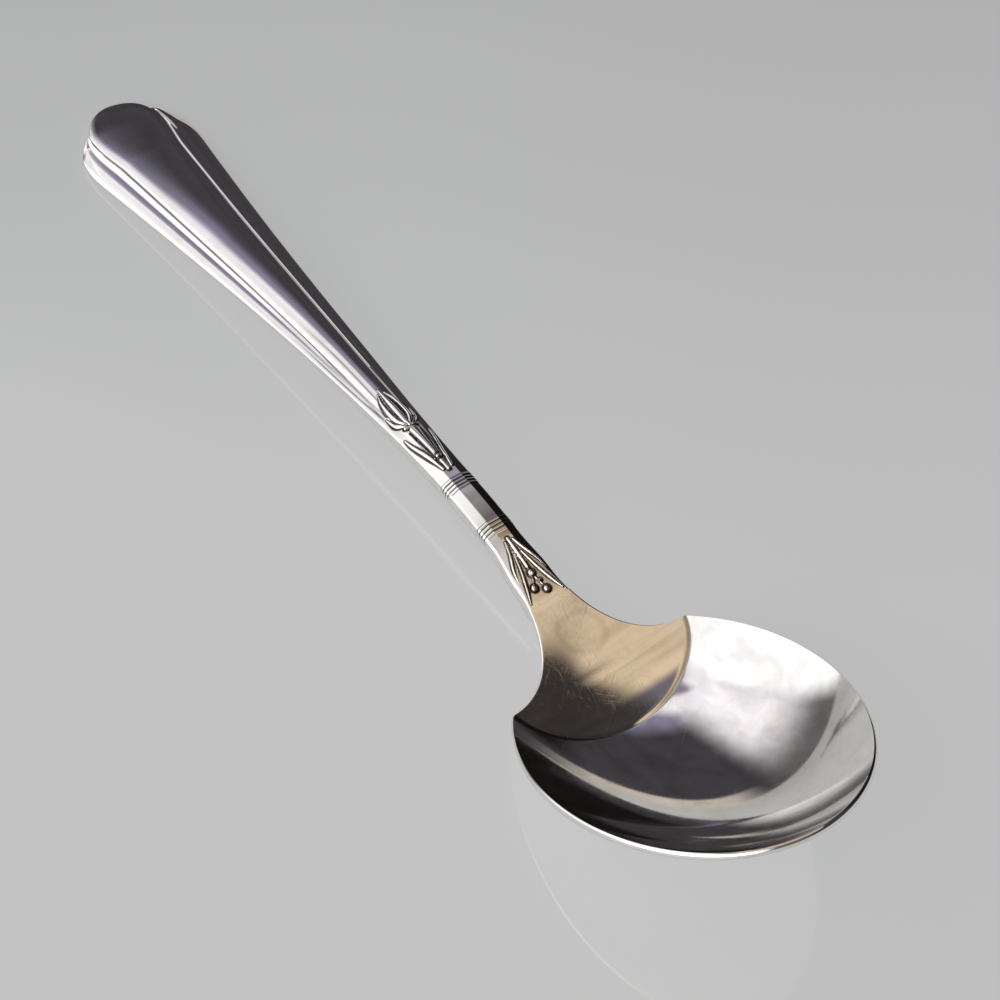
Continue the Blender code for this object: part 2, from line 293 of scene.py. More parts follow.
def handle_top(x):
    """Places across and heights of the handle's top for a column of stations."""
    half, panel = handle_half_width(x), panel_half_width(x)
    right = np.concatenate([panel * PANEL_SHARES[1:], panel + (half - panel) * BAND_SHARES], axis=1)
    scale = np.minimum(blade_half_width(x) / FULL_HALF_WIDTH, 1.0)
    lift = END_LIFT * (1 - ease((x - LIFT_START) / LIFT_LENGTH))
    plain_edge = PANEL_WALL + (EDGE_FALL + PANEL_WALL) * (half_round(BAND_SHARES) - 1)
    threaded = ease((half - panel - EDGE_ROLL) / THREAD_ROOM)
    band = scale * (plain_edge + (band_relief(BAND_SHARES) - plain_edge) * threaded)
    blade = lift + np.concatenate([panel_relief(x, panel * PANEL_SHARES[1:], scale), band], axis=1)
    is_stem, is_neck = stem_share(x), neck_share(x)
    stem = stem_relief(right, half, is_neck)
    rounding = is_stem * RIM_BEVEL * (quarter((half - right) / RIM_BEVEL) - 1)
    relief = blade + (stem - blade) * is_stem + rounding
    blade_middle = lift + panel_relief(x, 0 * x, scale)
    middle = (1 - is_stem) * blade_middle + is_stem * STEM_CROWN * (1 - is_neck)
    y = np.concatenate([-right[:, ::-1], 0 * x, right], axis=1)
    z = top_line(x) + np.concatenate([relief[:, ::-1], middle, relief], axis=1)
    return y, z


print("points across the top:", 2 * (len(PANEL_SHARES) - 1 + len(BAND_SHARES)) + 1)

# %% [markdown]
# Each row of points on top is closed to a ring by sides, rounded corners and a flat back, and the
# tongue that lies under the plate goes on from the last ring. Skinned together, the rings are the
# handle, as if it had been sawn into slices.

# %% Rings of the handle
SHEET = 1.1 * MM
PLATE_DISH = 0.5 * MM
LAP_GAP = 0.03 * MM
TONGUE_LENGTH = 8.2 * MM
TONGUE_WIDTH = 4.2 * MM
TONGUE_ROUND = 0.94
TONGUE_ROOT = 1.1 * MM
TONGUE_THINNING = 0.45
CORNER_RADIUS = 0.5 * MM
CORNER_OF_SIDE, CORNER_OF_HALF = 0.45, 0.4
CORNER_BEND = 0.29
BACK_POINT = 0.6
CARVED_X = 66 * MM
JOINT_GAP = 0.01 * MM
BLADE_THICKNESS, STEM_GAIN, NECK_GAIN = 1.5 * MM, 0.6 * MM, 0.4 * MM


def plate_height(x, y):
    """Height of the plate: level across at the joint, dished between the shoulders."""
    dish = PLATE_DISH * ease((x - SEAM_X) / (SHOULDER_X - SEAM_X))
    return top_line(x) - dish * (1 - (2 * y / SHOULDER_WIDTH) ** 2)


def close_rings(x, y, z, bottom):
    """Whole sections from their tops: sides, rounded lower corners and the flat back are added."""
    half, side = y[:, -1:], z[:, -1:]
    corner = np.minimum(CORNER_OF_SIDE * (side - bottom), np.minimum(CORNER_OF_HALF * half, CORNER_RADIUS))
    low_y = np.concatenate([
        half,
        half,
        half - CORNER_BEND * corner,
        half - corner,
        BACK_POINT * (half - corner),
    ], axis=1)
    low_z = np.concatenate([
        (side + bottom + corner) / 2,
        bottom + corner,
        bottom + CORNER_BEND * corner,
        bottom,
        bottom,
    ], axis=1)
    ring_y = np.concatenate([y, low_y, 0 * half, -low_y[:, ::-1]], axis=1)
    ring_z = np.concatenate([z, low_z, bottom, low_z[:, ::-1]], axis=1)
    return np.stack([np.broadcast_to(x + END_X, ring_y.shape), ring_y, ring_z], axis=-1)


def tongue_rings(shares):
    """Sections of the tongue that lies under the plate."""
    x = JOINT_X + TONGUE_LENGTH * shares
    half = TONGUE_WIDTH / 2 * np.sqrt(1 - TONGUE_ROUND * shares ** 3)
    top_y, _ = handle_top(np.array([[JOINT_X]]))
    y = half * top_y / top_y[0, -1]
    z = plate_height(x, y) - SHEET - LAP_GAP
    bottom = z.min(axis=1, keepdims=True) - TONGUE_ROOT * (1 - TONGUE_THINNING * shares)
    return close_rings(x, y, z, bottom)


lobe_stations = LOBE_REACH * (1 - np.cos(np.linspace(0, math.pi / 2, 26)))
round_stations = LOBE_REACH + END_ROUND * (1 - np.cos(np.linspace(0, math.pi / 2, 40)[1:]))
blade_stations = np.linspace(LOBE_REACH + END_ROUND, CARVED_X, 110)[1:]
carved_stations = np.linspace(CARVED_X, JOINT_X - JOINT_GAP, 410)[1:]
stations = np.concatenate([lobe_stations, round_stations, blade_stations, carved_stations])[:, None]
top_y, top_z = handle_top(stations)
thickness = BLADE_THICKNESS + STEM_GAIN * stem_share(stations) + NECK_GAIN * neck_share(stations)
rings = close_rings(stations, top_y, top_z, np.maximum(top_line(stations) - thickness, 0.0))
rings = np.concatenate([rings, tongue_rings(np.linspace(0, 1, 24)[:, None])])
top_count = top_y.shape[1]
print("rings", rings.shape[0], "of", rings.shape[1], "points")

# %% Handle skin
def grid_faces(first, second):
    """Four-sided faces between two rows of point numbers."""
    return np.stack([first[:-1], first[1:], second[1:], second[:-1]], axis=-1).reshape(-1, 4)


def make_piece(name, points, faces):
    """An object at the origin from points and faces, with its faces turned outwards."""
    mesh = bpy.data.meshes.new(name)
    mesh.from_pydata(points.tolist(), [], faces)
    skin = bmesh.new()
    skin.from_mesh(mesh)
    bmesh.ops.recalc_face_normals(skin, faces=skin.faces)
    skin.to_mesh(mesh)
    skin.free()
    mesh.shade_smooth()
    piece = bpy.data.objects.new(name, mesh)
    bpy.context.collection.objects.link(piece)
    return piece


ring_numbers = np.arange(rings.shape[0] * rings.shape[1]).reshape(rings.shape[:2])
looped = np.concatenate([ring_numbers, ring_numbers[:, :1]], axis=1)
handle_faces = [face for a, b in zip(looped, looped[1:]) for face in grid_faces(a, b).tolist()]
handle_faces += [ring_numbers[0].tolist(), ring_numbers[-1].tolist()]
handle = make_piece("handle_silver", rings.reshape(-1, 3), handle_faces)
struck = handle.data.attributes.new("struck", "FLOAT", "POINT")
is_struck = np.zeros(ring_numbers.shape, np.float32)
is_struck[:len(stations), :top_count] = 1.0
is_struck[:len(stations), [top_count, -1]] = 0.5
struck.data.foreach_set("value", is_struck.ravel())
GROOVE_TARNISH = 0.5
foot = len(PANEL_SHARES)
band_room = top_y[:, -1:] - panel_half_width(stations) - EDGE_ROLL
groove_depth = GROOVE_TARNISH * ease(band_room / THREAD_ROOM) * (1 - stem_share(stations))
is_recess = np.zeros(ring_numbers.shape, np.float32)
is_recess[:len(stations), [top_count // 2 - foot, top_count // 2 + foot]] = groove_depth
handle.data.attributes.new("recess", "FLOAT", "POINT").data.foreach_set("value", is_recess.ravel())
print("handle skin:", len(handle.data.polygons), "faces")

# %% [markdown]
# What repeats or follows a path is left to Geometry Nodes. A few helpers keep the trees readable: one
# feeds a socket with a number or a link, one places a node and fills its inputs, and one gives every
# tree the same ending, which notes the tarnish and painted shade of the grooves and sets the metal.

# %% Node helpers
def feed(tree, socket, value):
    """Link a socket to an output, or give it a plain value."""
    if isinstance(value, bpy.types.NodeSocket):
        tree.links.new(value, socket)
    else:
        socket.default_value = value


def place(tree, kind, inputs=None, **settings):
    """A node with its settings made and its inputs fed."""
    node = tree.nodes.new(kind)
    for key, value in settings.items():
        setattr(node, key, value)
    for key, value in (inputs or {}).items():
        feed(tree, node.inputs[key], value)
    return node


def calc(tree, operation, *values):
    """Output of one Math node."""
    return place(tree, "ShaderNodeMath", dict(enumerate(values)), operation=operation).outputs[0]


def new_tree(name, kind, inputs, outputs):
    """A node group with its sockets, and its two end nodes."""
    tree = bpy.data.node_groups.new(name, kind)
    for in_out, sockets in (("INPUT", inputs), ("OUTPUT", outputs)):
        for socket_name, socket_type in sockets:
            tree.interface.new_socket(socket_name, in_out=in_out, socket_type="NodeSocket" + socket_type)
    return tree, tree.nodes.new("NodeGroupInput").outputs, tree.nodes.new("NodeGroupOutput").inputs


def stored(tree, name):
    """Output of a Named Attribute node."""
    node = place(tree, "GeometryNodeInputNamedAttribute", {"Name": name}, data_type="FLOAT")
    return node.outputs["Attribute"]


def end_relief(tree, geometry, tarnish_and_shade, metal, result):
    """Note the tarnish and painted shade in and beside the grooves at each point, make all real and set the
    metal.
    """
    noted = place(tree, "GeometryNodeStoreNamedAttribute", {
        "Geometry": geometry, "Name": "recess", "Value": calc(tree, "MAXIMUM", stored(tree, "recess"), tarnish_and_shade),
    }, data_type="FLOAT", domain="POINT")
    real = place(tree, "GeometryNodeRealizeInstances", {0: noted.outputs[0]})
    metal_set = place(tree, "GeometryNodeSetMaterial", {"Geometry": real.outputs[0], "Material": metal})
    feed(tree, result["Geometry"], metal_set.outputs[0])


def use_tree(piece, tree, values):
    """Run a tree on a piece as a modifier whose inputs are named here."""
    modifier = piece.modifiers.new(tree.name, "NODES")
    modifier.node_group = tree
    for item in tree.interface.items_tree:
        if item.in_out == "INPUT" and item.name in values:
            modifier[item.identifier] = values[item.name]


def made_real(piece):
    """The piece as its trees have made it, with no modifier left."""
    bpy.context.view_layer.update()
    depsgraph = bpy.context.evaluated_depsgraph_get()
    shaped = bpy.data.meshes.new_from_object(piece.evaluated_get(depsgraph))
    piece.modifiers.clear()
    shaped.name = piece.data.name
    piece.data = shaped
    return piece


print("node helpers ready")

# %% [markdown]
# Two bands of reeds ring the ends of the barrel, four low ridges in each. They could be cut
# one by one, but they repeat by a rule: the place along the handle, counted in reeds. The tree lifts
# each point of the skin along its normal by the height of the ridge over it, and writes down how deep
# in a groove the point lies, for the tarnish later.

# %% Reeds
reeds, given, result = new_tree(
    "reed_band",
    "GeometryNodeTree",
    [("Geometry", "Geometry"), ("Start", "Float"), ("Length", "Float"), ("Reeds", "Int"), ("Rise", "Float"),
     ("Metal", "Material")],
    [("Geometry", "Geometry")],
)
spot = place(reeds, "ShaderNodeSeparateXYZ", {0: reeds.nodes.new("GeometryNodeInputPosition").outputs[0]})
from_start = calc(reeds, "SUBTRACT", spot.outputs["X"], given["Start"])
along_band = calc(reeds, "DIVIDE", from_start, given["Length"])
in_band = calc(reeds, "MULTIPLY", calc(reeds, "COMPARE", along_band, 0.5, 0.5), stored(reeds, "struck"))
reed_share = calc(reeds, "FRACT", calc(reeds, "MULTIPLY", along_band, given["Reeds"]))
across_reed = calc(reeds, "MULTIPLY_ADD", reed_share, 2.0, -1.0)
ridge = calc(reeds, "SUBTRACT", 1.0, calc(reeds, "MULTIPLY", across_reed, across_reed))
lift = calc(reeds, "MULTIPLY", calc(reeds, "MULTIPLY", ridge, given["Rise"]), in_band)
normal = reeds.nodes.new("GeometryNodeInputNormal").outputs[0]
lifted = place(reeds, "ShaderNodeVectorMath", {0: normal, "Scale": lift}, operation="SCALE").outputs[0]
moved = place(reeds, "GeometryNodeSetPosition", {"Geometry": given["Geometry"], "Offset": lifted})
tarnish_and_shade = calc(reeds, "MULTIPLY", calc(reeds, "SUBTRACT", 1.0, ridge), in_band)
end_relief(reeds, moved.outputs[0], tarnish_and_shade, given["Metal"], result)
print("reed tree:", len(reeds.nodes), "nodes")

# %% [markdown]
# The bud, the leaves and the berries are raised from the same ground, so one recipe makes them
# all. A guide holds the middle lines of the ornament, flat at z = 0, with a half width and a rise
# stored at each of its points. For each point of the skin the tree finds how far the nearest guide is,
# seen from above, and lifts the point by a half circle of that width. It also notes a darkening round
# each line: tarnish at its foot, and painted shade spread over the ground beside it.

# %% Raised ornament
RELIEF_FOOT = 1.1
INNER_SLOPE, INNER_START = -2.2, 2.4


def ornament_tree(name, element):
    """A tree that raises half-round relief on the edges or the points of a guide."""
    tree, given, result = new_tree(
        name,
        "GeometryNodeTree",
        [("Geometry", "Geometry"), ("Guide", "Object"), ("Groove", "Float"), ("Metal", "Material")],
        [("Geometry", "Geometry")],
    )
    guide = place(tree, "GeometryNodeObjectInfo", {"Object": given["Guide"]}).outputs["Geometry"]
    spot = place(tree, "ShaderNodeSeparateXYZ", {0: tree.nodes.new("GeometryNodeInputPosition").outputs[0]})
    seen = place(tree, "ShaderNodeCombineXYZ", {"X": spot.outputs["X"], "Y": spot.outputs["Y"]}).outputs[0]
    where = {"Geometry": guide, "Sample Position": seen}
    nearest = place(tree, "GeometryNodeProximity", where, target_element=element)
    point = place(tree, "GeometryNodeSampleNearest", where, domain="POINT")
    sampled = {}
    for label in ("half_width", "rise"):
        sample = place(tree, "GeometryNodeSampleIndex", {
            "Geometry": guide, "Value": stored(tree, label), "Index": point.outputs[0],
        }, data_type="FLOAT", domain="POINT")
        sampled[label] = sample.outputs[0]
    away = calc(tree, "DIVIDE", nearest.outputs["Distance"], sampled["half_width"])
    under_round = calc(tree, "SUBTRACT", 1.0, calc(tree, "MULTIPLY", away, away))
    round_over = calc(tree, "SQRT", calc(tree, "MAXIMUM", under_round, 0.0))
    is_top = stored(tree, "struck")
    lift = calc(tree, "MULTIPLY", calc(tree, "MULTIPLY", round_over, sampled["rise"]), is_top)
    moved = place(tree, "GeometryNodeSetPosition", {
        "Geometry": given["Geometry"], "Offset": place(tree, "ShaderNodeCombineXYZ", {"Z": lift}).outputs[0],
    })
    # Darkening round the relief, kept in the recess attribute: tarnish at its foot and painted shade over the
    # ground beside it, as wide as the width input.
    outside = calc(tree, "DIVIDE", calc(tree, "SUBTRACT", away, RELIEF_FOOT), given["Groove"])
    beside = calc(tree, "MAXIMUM", outside, calc(tree, "MULTIPLY_ADD", away, INNER_SLOPE, INNER_START))
    tarnish_and_shade = calc(tree, "MULTIPLY", calc(tree, "MAXIMUM", calc(tree, "SUBTRACT", 1.0, beside), 0.0), is_top)
    end_relief(tree, moved.outputs[0], tarnish_and_shade, given["Metal"], result)
    return tree


line_tree = ornament_tree("raised_lines", "EDGES")
bead_tree = ornament_tree("raised_beads", "POINTS")
print("ornament trees:", len(line_tree.nodes), "nodes each")

# %% Guides
def make_guide(name, lines):
    """A guide from lines of points, each with a place along and across, a half width and a rise."""
    points = np.concatenate(lines)
    starts = np.cumsum([0] + [len(line) for line in lines])
    edges = [(n, n + 1) for a, b in zip(starts, starts[1:]) for n in range(a, b - 1)]
    mesh = bpy.data.meshes.new(name)
    flat = np.stack([points[:, 0] + END_X, points[:, 1], 0 * points[:, 0]], axis=-1)
    mesh.from_pydata(flat.tolist(), edges, [])
    for label, column in (("half_width", 2), ("rise", 3)):
        values = mesh.attributes.new(label, "FLOAT", "POINT")
        values.data.foreach_set("value", points[:, column].astype(np.float32))
    guide = bpy.data.objects.new(name, mesh)
    bpy.context.collection.objects.link(guide)
    return guide


def flowing(*knots, count=60):
    """A smooth line through knots of place along, place across, half width and rise, in mm."""
    knots = np.array(knots, float) * MM
    padded = np.concatenate([2 * knots[:1] - knots[1:2], knots, 2 * knots[-1:] - knots[-2:-1]])
    spans = np.linspace(0, len(knots) - 1, count)
    first = np.minimum(spans.astype(int), len(knots) - 2)
    t = (spans - first)[:, None]
    a, b, c, d = (padded[first + n] for n in range(4))
    return b + 0.5 * t * (c - a + t * (2 * a - 5 * b + 4 * c - d + t * (3 * (b - c) + d - a)))


def both_sides(*lines):
    """Lines with their mirror images across the handle."""
    return [line * np.array([1, side, 1, 1]) for line in lines for side in (1, -1)]


print("guides hold lines of", flowing((0, 0, 0, 0), (1, 0, 0, 0)).shape[0], "points")

# %% [markdown]
# Above the barrel a bud on a fluted stem lies between two long leaves, and below it a stem with three
# berries. Both are common ornaments of struck table silver. They are drawn here freely, as a few knots
# for each line: place along, place across, half width and rise.

# %% Bud and berries
bud_lines = both_sides(
    flowing(
        (76.4, 0.25, 0.22, 0.20), (74.6, 1.05, 0.32, 0.32), (71.8, 0.95, 0.22, 0.25), (70.0, 0.45, 0.08, 0.10),
    ),
    flowing((76.6, 0.45, 0.20, 0.18), (75.6, 1.45, 0.26, 0.26), (73.9, 1.75, 0.10, 0.10)),
    flowing(
        (85.0, 0.60, 0.18, 0.16), (82.0, 1.15, 0.26, 0.26), (79.6, 1.65, 0.22, 0.22), (78.2, 1.80, 0.12, 0.10),
    ),
) + [
    flowing((85.2, 0.0, 0.30, 0.30), (83.6, 0.0, 0.34, 0.32)),
    flowing((82.4, 0.0, 0.40, 0.40), (79.5, 0.0, 0.55, 0.48), (77.4, 0.0, 0.74, 0.50)),
    flowing((76.8, -0.80, 0.24, 0.26), (77.0, 0.0, 0.26, 0.32), (76.8, 0.80, 0.24, 0.26)),
    flowing((76.4, 0.0, 0.40, 0.30), (73.0, 0.0, 0.42, 0.36), (69.2, 0.0, 0.08, 0.10)),
    flowing((83.0, -0.50, 0.22, 0.24), (83.0, 0.50, 0.22, 0.24)),
]
berry_lines = both_sides(
    flowing(
        (98.2, 0.55, 0.14, 0.14), (99.8, 1.00, 0.18, 0.22),
        (101.6, 1.75, 0.16, 0.18), (103.0, 2.05, 0.06, 0.05),
    ),
    flowing(
        (100.0, 0.50, 0.12, 0.14), (102.4, 1.05, 0.18, 0.24),
        (104.6, 1.75, 0.18, 0.22), (106.2, 2.35, 0.08, 0.08),
    ),
) + [
    flowing((97.9, 0.0, 0.24, 0.26), (100.4, 0.0, 0.30, 0.34), (102.3, 0.0, 0.22, 0.26)),
    flowing((103.0, 0.0, 0.12, 0.14), (104.4, -0.65, 0.12, 0.14)),
    flowing((103.0, 0.0, 0.12, 0.14), (105.0, 0.45, 0.12, 0.14)),
]
leaf_guide = make_guide("leaf_guide", bud_lines + berry_lines)
berries = np.array([
    (83.0, 0.0, 0.42, 0.34), (102.9, 0.0, 0.46, 0.40), (104.7, -0.80, 0.44, 0.36), (105.4, 0.55, 0.44, 0.36),
    (104.1, 0.50, 0.24, 0.20),
]) * MM
berry_guide = make_guide("berry_guide", [berry[None] for berry in berries])
print("lines", len(bud_lines + berry_lines), "berries", len(berries))

# %% [markdown]
# The bowl is an oval dish whose heel is cut off straight at the shoulders. Behind that line the plate
# runs back to the handle, and in front of it the plate rolls down into the dish, which leaves a crisp
# crease. A sphere that has been scaled would have none of this. So the depth of the dish is a formula,
# and the skin is a grid whose first row is the shoulder line and whose other sides lie on the oval rim.

# %% Depth of the bowl
BOWL_WIDTH = bowl_high.y - bowl_low.y
BOWL_DEPTH = 7.5 * MM
HEEL_RADIUS = 9.0 * MM
CREASE_BLEND = 0.25 * MM
RIM_EDGE = 0.8 * MM
DISH_POWER = 2.2
HEEL_SHARE = math.sqrt(1 - (SHOULDER_WIDTH / BOWL_WIDTH) ** 2)
OVAL_HALF_LENGTH = BOWL_LENGTH / (1 + HEEL_SHARE)
OVAL_CENTRE = OVAL_HALF_LENGTH * HEEL_SHARE


def heel_depth(u, v):
    """Depth of the dished plate below the rim as it falls into the bowl."""
    steepness = math.cos(HEEL_ANGLE) / math.cos(BOWL_TILT + HEEL_ANGLE)
    dish = PLATE_DISH * (1 - (2 * v / SHOULDER_WIDTH) ** 2) * steepness
    return dish + u * math.tan(BOWL_TILT + HEEL_ANGLE) + u ** 2 / (2 * HEEL_RADIUS)


def oval_fall(u, v, inset):
    """1 at the middle of the bowl, 0 on its rim."""
    along = (u - OVAL_CENTRE) / (OVAL_HALF_LENGTH - inset)
    return np.maximum(1 - np.hypot(along, v / (BOWL_WIDTH / 2 - inset)) ** DISH_POWER, 0)


def inside_depth(u, v):
    """Depth of the hollow below the rim."""
    return soft_min(BOWL_DEPTH * oval_fall(u, v, RIM_BEVEL), heel_depth(u, v), CREASE_BLEND)


def outside_depth(u, v):
    """Depth of the underside below the rim."""
    heel = heel_depth(u, v) + SHEET / math.cos(BOWL_TILT + HEEL_ANGLE)
    oval = RIM_EDGE + (BOWL_DEPTH + SHEET - RIM_EDGE) * oval_fall(u, v, 0)
    return soft_min(oval, heel, CREASE_BLEND)


def rim_to_spoon(u, v, depth):
    """Points of the spoon from places along, across and below the rim."""
    x = SHOULDER_X + u * math.cos(BOWL_TILT) + depth * math.sin(BOWL_TILT)
    z = SHOULDER_HEIGHT + u * math.sin(BOWL_TILT) - depth * math.cos(BOWL_TILT)
    return np.stack([x + END_X, v, np.maximum(z, 0)], axis=-1)


print(f"bowl {BOWL_WIDTH / MM:.1f} mm wide, {BOWL_DEPTH / MM:.1f} mm deep")

# %% Grids of the bowl and its plate
EVEN, CROWDED = 0.7, 0.3
HEEL_CROWDING = 1.3
across = np.linspace(-1, 1, 151)
across = EVEN * across + CROWDED * np.sin(across * math.pi / 2)
plate_turn = math.asin((JOINT_X - FLARE_X) / (SHOULDER_X - FLARE_X))
plate_x = FLARE_X + (SHOULDER_X - FLARE_X) * np.sin(np.linspace(plate_turn, math.pi / 2, 61)[:-1, None])
bowl_s = 2 * np.linspace(0, 1, 241)[:, None] ** HEEL_CROWDING - 1


def oval_grid(inset):
    """Places along and across the rim for a grid that fills the oval in front of the shoulders."""
    cut = bowl_s ** 2 * (bowl_s < 0)
    along = (1 - cut) * bowl_s * np.sqrt(1 - across ** 2 / 2) + cut * bowl_s * HEEL_SHARE
    rim = (1 - cut) * bowl_s * math.sqrt(0.5) + cut * bowl_s * HEEL_SHARE
    u = OVAL_CENTRE + (OVAL_HALF_LENGTH - inset) * along
    return u, (BOWL_WIDTH / 2 - inset) * np.sqrt(1 - rim ** 2) * across


def plate_grid(inset, drop):
    """Points of the plate from the joint out to the shoulders."""
    y = (neck_half_width(plate_x) - inset) * across
    return np.stack([np.broadcast_to(plate_x + END_X, y.shape), y, plate_height(plate_x, y) - drop], axis=-1)


inner_u, inner_v = oval_grid(RIM_BEVEL)
outer_u, outer_v = oval_grid(0.0)
inner_bowl = rim_to_spoon(inner_u, inner_v, inside_depth(inner_u, inner_v))
outer_bowl = rim_to_spoon(outer_u, outer_v, outside_depth(outer_u, outer_v))
inner = np.concatenate([plate_grid(RIM_BEVEL, 0.0), inner_bowl])
outer = np.concatenate([plate_grid(0.0, SHEET), outer_bowl])
print("bowl grids", inner.shape[:2])

# %% [markdown]
# The inner and the outer grid are joined along their borders by a rounded lip, as the edge of the sheet
# is filed round so that it does not cut. Dirt stays in the crease, where no polishing cloth reaches, so
# how deep each point lies there is written down for the tarnish.

# %% Bowl skin
LIP_STEPS = ((0.16, 0.07), (0.04, 0.19), (0.0, 0.38))
CREASE_DIRT = 0.5
DIRT_WIDTH = 0.22 * MM
DIRT_START, DIRT_FADE = 0.05, 0.35


def boundary(grid):
    """The grid's border from the joint's corner along one side, round the tip and back."""
    return np.concatenate([grid[:, 0], grid[-1, 1:-1], grid[::-1, -1]])


def lip(inset, depth):
    """One line of the rounded edge, the same way round as the border of a grid."""
    u, v = oval_grid(inset)
    return boundary(np.concatenate([plate_grid(inset, depth), rim_to_spoon(u, v, np.full_like(u, depth))]))


lips = [lip(inset * MM, depth * MM) for inset, depth in LIP_STEPS]
bowl_points = np.concatenate([inner.reshape(-1, 3), outer.reshape(-1, 3)] + lips)
inner_numbers = np.arange(inner.shape[0] * inner.shape[1]).reshape(inner.shape[:2])
outer_numbers = inner_numbers + inner_numbers.size
border_size = len(boundary(inner_numbers))
lip_numbers = [2 * inner_numbers.size + n * border_size + np.arange(border_size) for n in range(len(lips))]
edge_rows = [boundary(inner_numbers)] + lip_numbers + [boundary(outer_numbers)]
bowl_faces = [
    face
    for rows in (inner_numbers, outer_numbers, edge_rows)
    for a, b in zip(rows, rows[1:])
    for face in grid_faces(a, b).tolist()
]
first_edge = [row[0] for row in edge_rows[1:-1]]
last_edge = [row[-1] for row in edge_rows[1:-1]]
joint_face = inner_numbers[0].tolist() + last_edge + outer_numbers[0, ::-1].tolist() + first_edge[::-1]
bowl = make_piece("bowl_silver", bowl_points, bowl_faces + [joint_face])
crease_gap = BOWL_DEPTH * oval_fall(inner_u, inner_v, RIM_BEVEL) - heel_depth(inner_u, inner_v)
off_middle = ease((2 * np.abs(inner_v) / SHOULDER_WIDTH - DIRT_START) / DIRT_FADE)
in_crease = np.exp(-(crease_gap / DIRT_WIDTH) ** 2)
crease_dirt = np.zeros(len(bowl_points))
crease_dirt[inner_numbers[len(plate_x):]] = CREASE_DIRT * in_crease * off_middle
bowl.data.attributes.new("recess", "FLOAT", "POINT").data.foreach_set("value", crease_dirt)
print("bowl skin:", len(bowl.data.polygons), "faces")

# %% [markdown]
# Both pieces are silver plate that has been used and polished for decades. Polish leaves fine straight
# scratches, hands leave a haze, and the polish never reaches the bottom of the grooves, where silver
# turns brown. The same dark brown is also painted as shade beside the raised ornament. Each of these
# shows on both pieces, so each is a shader group with its own inputs, and each piece gets them in its own
# strength.

# %% Hairline scratches
scratches, given, result = new_tree(
    "hairline_scratches",
    "ShaderNodeTree",
    [("Vector", "Vector"), ("Turn", "Float"), ("Lines per metre", "Float"), ("Share", "Float")],
    [("Height", "Float")],
)
ALONG_SCRATCH = (0.02, 1.0, 0.02)
turned = place(scratches, "ShaderNodeVectorRotate", {
    "Vector": given["Vector"], "Angle": given["Turn"],
}, rotation_type="Z_AXIS")
stretched = place(scratches, "ShaderNodeVectorMath", {
    0: turned.outputs[0], 1: ALONG_SCRATCH,
}, operation="MULTIPLY")
line_noise = place(scratches, "ShaderNodeTexNoise", {
    "Vector": stretched.outputs[0], "Scale": given["Lines per metre"], "Detail": 2.0, "Roughness": 0.6,
})
threshold = calc(scratches, "SUBTRACT", 1.0, given["Share"])
line = calc(scratches, "SUBTRACT", line_noise.outputs["Fac"], threshold)
feed(scratches, result["Height"], calc(scratches, "MULTIPLY", calc(scratches, "MAXIMUM", line, 0.0), 4.0))
print("scratch group:", len(scratches.nodes), "nodes")

# %% Tarnish and painted shade
tarnish, given, result = new_tree(
    "brown_tarnish",
    "ShaderNodeTree",
    [("Vector", "Vector"), ("Recess", "Float"), ("Patches per metre", "Float"), ("Film", "Float")],
    [("Film", "Float"), ("Deep", "Float")],
)
patch_noise = place(tarnish, "ShaderNodeTexNoise", {
    "Vector": given["Vector"], "Scale": given["Patches per metre"], "Detail": 6.0, "Roughness": 0.62,
})
patch = place(tarnish, "ShaderNodeMapRange", {
    "Value": patch_noise.outputs["Fac"], "From Min": 0.42, "From Max": 0.72,
}, interpolation_type="SMOOTHSTEP").outputs["Result"]
# Deep: tarnish in the grooves and the crease, and painted shade beside the raised ornament.
in_groove = place(tarnish, "ShaderNodeMapRange", {
    "Value": given["Recess"], "From Min": 0.10, "From Max": 0.75,
}, interpolation_type="SMOOTHSTEP").outputs["Result"]
uneven = calc(tarnish, "MULTIPLY_ADD", patch_noise.outputs["Fac"], 0.7, 0.6)
feed(tarnish, result["Film"], calc(tarnish, "MULTIPLY", patch, given["Film"]))
feed(tarnish, result["Deep"], calc(tarnish, "MINIMUM", calc(tarnish, "MULTIPLY", in_groove, uneven), 1.0))
print("tarnish group:", len(tarnish.nodes), "nodes")

# %% Haze of handling
haze, given, result = new_tree(
    "handling_haze",
    "ShaderNodeTree",
    [("Vector", "Vector"), ("Clean", "Float"), ("Dull", "Float")],
    [("Roughness", "Float")],
)
smear = place(haze, "ShaderNodeTexNoise", {
    "Vector": given["Vector"], "Scale": 130.0, "Detail": 4.0, "Distortion": 0.4,
})
grain = place(haze, "ShaderNodeTexNoise", {"Vector": given["Vector"], "Scale": 2600.0, "Detail": 2.0})
smeared = calc(haze, "MULTIPLY", smear.outputs["Fac"], 0.65)
mixed = calc(haze, "MULTIPLY_ADD", grain.outputs["Fac"], 0.35, smeared)
shared = place(haze, "ShaderNodeMapRange", {
    "Value": mixed, "From Min": 0.38, "From Max": 0.64, "To Min": given["Clean"], "To Max": given["Dull"],
})
feed(haze, result["Roughness"], shared.outputs["Result"])
print("haze group:", len(haze.nodes), "nodes")

# %% Silver
SILVER = (0.90, 0.885, 0.865, 1.0)
FILM = (0.55, 0.43, 0.28, 1.0)
# Dark brown of the deep tarnish, also used for the painted shade beside the raised ornament.
DEEP_TARNISH_AND_SHADE = (0.045, 0.030, 0.022, 1.0)
PATCHES = 260.0
SCRATCH_SHARE = 0.35
SCRATCH_DULLING, TARNISH_DULLING = 0.3, 0.25


